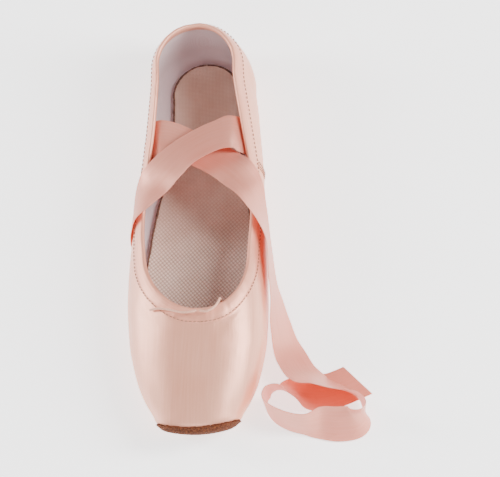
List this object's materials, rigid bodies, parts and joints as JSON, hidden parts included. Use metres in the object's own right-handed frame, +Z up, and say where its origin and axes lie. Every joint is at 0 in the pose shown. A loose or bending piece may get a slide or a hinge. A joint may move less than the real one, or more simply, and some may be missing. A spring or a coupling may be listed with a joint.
{
  "type": "pointe shoe",
  "caption": "Satin ballet pointe shoe with a stiff box, flat platform, leather outsole, drawstring binding and loose ribbons.",
  "frame": {"origin": "on the floor, in the middle of the shoe's own length and width", "axes": "+Z up, toe along -Y and heel along +Y, +X towards the side that the ribbons lie on"},
  "size_m": [0.1335, 0.24, 0.0549],
  "materials": {
    "satin": "glossy satin weave, pale peach",
    "sole_leather": "smooth, thin edge, brown",
    "insole_canvas": "matt woven canvas, brown beige",
    "suede": "rough, granular, golden brown",
    "binding_satin": "satin, soft sheen, pale pink",
    "ribbon_satin": "glossy satin ribbon, pale pink",
    "string": "thin matt cotton cord, pale peach"
  },
  "bodies": {
    "root": {"upper": "satin", "outsole": "sole_leather", "insole": "insole_canvas", "toe_tip": "suede", "binding": "binding_satin", "ribbon_right": "ribbon_satin", "ribbon_left": "ribbon_satin", "drawstring_left": "string", "drawstring_right": "string"}
  },
  "joints": []
}
